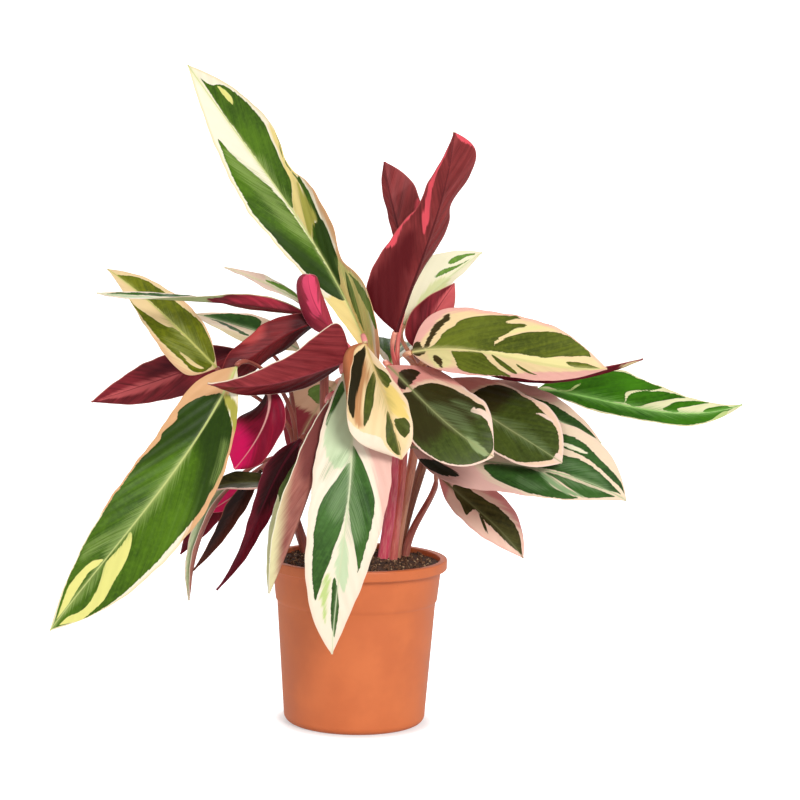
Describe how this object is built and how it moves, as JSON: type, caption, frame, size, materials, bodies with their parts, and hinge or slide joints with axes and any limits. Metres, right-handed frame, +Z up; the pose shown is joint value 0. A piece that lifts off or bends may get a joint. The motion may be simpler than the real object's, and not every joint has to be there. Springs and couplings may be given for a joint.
{
  "type": "potted stromanthe triostar",
  "caption": "Variegated prayer plant with upright canes and long waved leaves, growing in a round nursery pot.",
  "frame": {"origin": "centre of the pot's base, on the surface that the pot stands on", "axes": "+Z up along the pot's axis, +Y to the back of the plant, +X to the right of someone who faces its front"},
  "size_m": [0.5148, 0.2857, 0.5114],
  "materials": {
    "pot_plastic": "satin",
    "peat": "rough and loose",
    "stem_skin": "smooth, streaked pink and maroon",
    "leaf_variegated": "satin, green with cream, pale yellow and pink areas",
    "leaf_wine": "satin, wine red with pink streaks"
  },
  "bodies": {
    "root": {"pot": "pot_plastic", "soil": "peat", "stem_center_front": "stem_skin", "stem_center": "stem_skin", "stem_center_right": "stem_skin", "stem_rear_right": "stem_skin", "stem_low_right": "stem_skin", "stem_left_inner": "stem_skin", "stem_left_outer": "stem_skin", "stem_back": "stem_skin", "leaf_upper_left": "leaf_variegated", "leaf_lower_left": "leaf_variegated", "leaf_mid_left": "leaf_variegated", "leaf_left_edge_on": "leaf_wine", "leaf_left_thin": "leaf_variegated", "leaf_left_inner": "leaf_variegated", "leaf_left_back": "leaf_wine", "leaf_left_curled": "leaf_wine", "leaf_left_fold": "leaf_wine", "leaf_young_curl": "leaf_wine", "leaf_upright_tall": "leaf_wine", "leaf_upright_short": "leaf_wine", "leaf_right_cream": "leaf_variegated", "leaf_right_short": "leaf_wine", "leaf_right_broad": "leaf_variegated", "leaf_right_edge_on": "leaf_wine", "leaf_far_right": "leaf_variegated", "leaf_right_front": "leaf_variegated", "leaf_right_middle": "leaf_variegated", "leaf_lower_right": "leaf_variegated", "leaf_right_under": "leaf_variegated", "leaf_low_right": "leaf_variegated", "leaf_center_curled": "leaf_variegated", "leaf_center_drooping": "leaf_variegated", "leaf_front_folded": "leaf_variegated", "leaf_magenta_hanging": "leaf_wine", "leaf_low_maroon": "leaf_wine", "leaf_low_dark": "leaf_wine", "leaf_low_thin": "leaf_variegated", "leaf_low_magenta": "leaf_wine", "leaf_low_left": "leaf_wine", "leaf_low_band": "leaf_variegated", "leaf_inner_pink": "leaf_variegated", "leaf_back_high": "leaf_variegated", "leaf_back_right": "leaf_variegated", "leaf_back_low": "leaf_variegated"}
  },
  "joints": []
}
